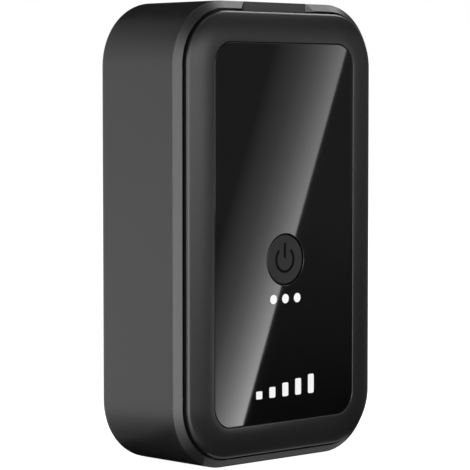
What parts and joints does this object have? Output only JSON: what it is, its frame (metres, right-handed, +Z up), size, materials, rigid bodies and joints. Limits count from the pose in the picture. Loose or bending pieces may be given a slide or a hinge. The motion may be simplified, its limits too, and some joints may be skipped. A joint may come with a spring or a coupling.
{
  "type": "gps tracker",
  "caption": "Pocket-size black upright tracker case with a domed bezel round a gloss window, one press button, a soft port cover in the top end and a flat magnetic back.",
  "frame": {"origin": "middle of the bottom of the object's box, on the surface that it stands on", "axes": "+Z up along the length, -Y out of the window, +X to the right of someone who faces the window"},
  "size_m": [0.0264, 0.0118, 0.044],
  "materials": {
    "case_plastic": "satin moulded",
    "bezel_plastic": "satin moulded",
    "window_gloss": "high gloss",
    "button_plastic": "fine matte",
    "silicone": "matte",
    "seal_foam": "matte foam",
    "black_tape": "matte",
    "screw_steel": "black zinc",
    "spring_steel": "plain",
    "tinned_steel": "tinned",
    "board_laminate": "solder mask",
    "chip_plastic": "matte",
    "ceramic": "fired",
    "led_plastic": "clear moulded",
    "amber_film": "film",
    "gold_contact": "plated",
    "card_plastic": "plain",
    "cell_foil": "foil pouch",
    "lead_rubber": "insulated wire",
    "magnet_nickel": "nickel plated"
  },
  "bodies": {
    "case": {"rear_housing": "case_plastic", "front_bezel": "bezel_plastic", "front_window": "window_gloss", "window_tape": "black_tape", "case_seal": "seal_foam", "case_screws": "screw_steel", "switch_dome": "spring_steel", "switch_base": "chip_plastic", "switch_cover": "spring_steel", "main_board": "board_laminate", "board_screws": "screw_steel", "shield_can": "tinned_steel", "board_chips": "chip_plastic", "board_passives": "ceramic", "status_leds": "led_plastic", "gnss_patch": "ceramic", "gnss_antenna": "tinned_steel", "cellular_antenna": "amber_film", "usb_shell": "tinned_steel", "usb_tongue": "chip_plastic", "sim_cage": "tinned_steel", "sim_contacts": "gold_contact", "microphone": "tinned_steel", "microphone_boot": "silicone", "insulation_film": "amber_film", "battery_cell": "cell_foil", "battery_board": "board_laminate", "battery_leads": "lead_rubber", "battery_tape": "black_tape", "magnets": "magnet_nickel"},
    "button": {"power_button": "button_plastic", "switch_stem": "chip_plastic"},
    "cover": {"port_cover": "silicone"},
    "card": {"sim_card": "card_plastic"}
  },
  "joints": [
    {"name": "button_press", "type": "slide", "parent": "case", "child": "button", "axis": [0, 1, 0], "range_m": [0, 0.0003], "stiffness_N_per_m": 600, "springref_m": -0.0005},
    {"name": "port_cover_hinge", "type": "hinge", "parent": "case", "child": "cover", "pos_m": [0, 0.00238, 0.04365], "axis": [-1, 0, 0], "range_deg": [0, 100]},
    {"name": "sim_card_slide", "type": "slide", "parent": "case", "child": "card", "axis": [0, 0, 1], "range_m": [-0.0003, 0.0012]}
  ]
}
